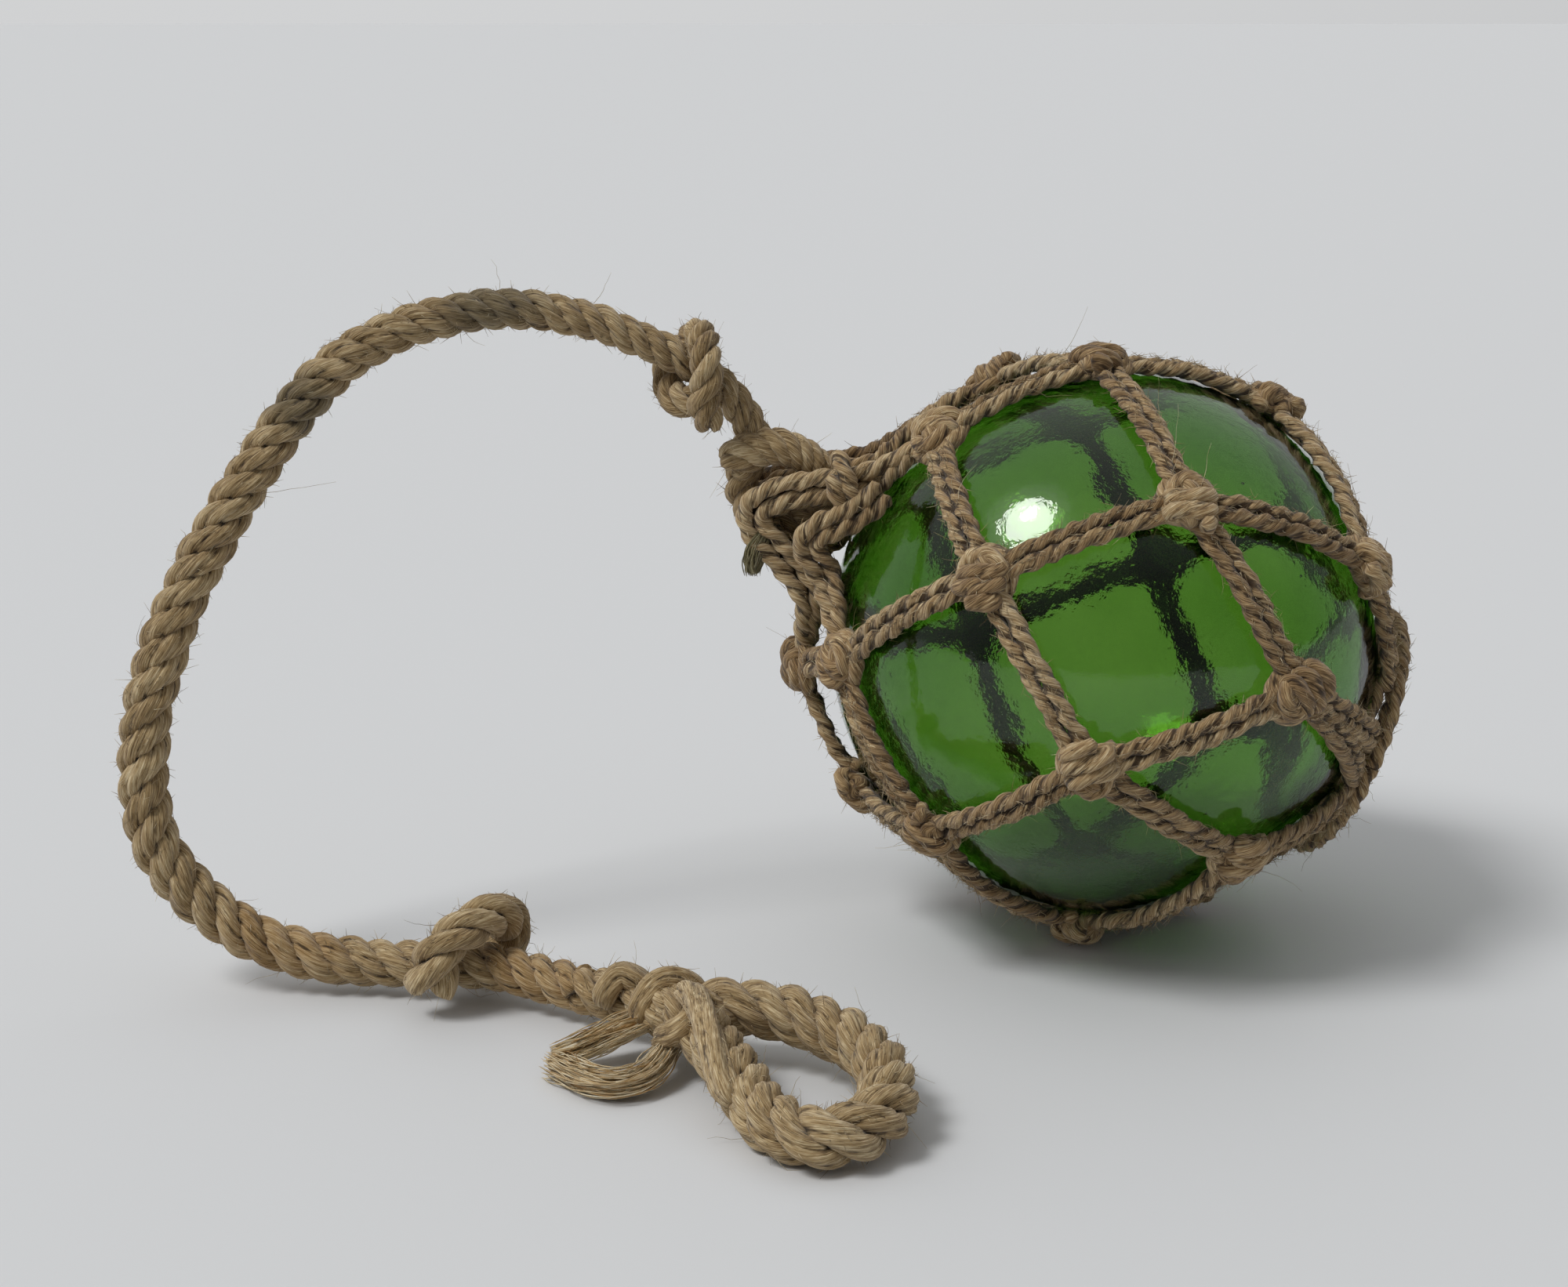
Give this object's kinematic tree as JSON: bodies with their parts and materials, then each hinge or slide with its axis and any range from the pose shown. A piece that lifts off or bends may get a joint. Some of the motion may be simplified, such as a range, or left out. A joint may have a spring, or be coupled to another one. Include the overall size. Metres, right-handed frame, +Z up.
{
  "type": "glass float ball",
  "caption": "Hollow blown green glass float ball held in a knotted net of doubled jute cord, with a short laid rope lanyard that ends in a spliced hand eye.",
  "frame": {"origin": "middle of the netted ball's box, on the surface that it rests on", "axes": "+Z up; +X from the net's crown and the lanyard, which are on the -X side, through the netted ball along its longest extent; -Y towards the side that the picture shows"},
  "size_m": [0.3459, 0.2416, 0.1782],
  "materials": {
    "green_glass": "clear bottle-green blown glass, smooth outside, uneven inner wall with seed bubbles",
    "jute_net_cord": "twisted natural jute cord, matt, hairy with loose fibres",
    "jute_rope": "three-strand laid natural jute rope, matt, hairy with loose fibres"
  },
  "bodies": {
    "root": {"glass_ball": "green_glass", "net": "jute_net_cord", "lanyard_crown_eye": "jute_rope", "lanyard_rope": "jute_rope", "lanyard_hand_eye": "jute_rope", "hitch_upper": "jute_rope", "hitch_lower": "jute_rope"}
  },
  "joints": []
}
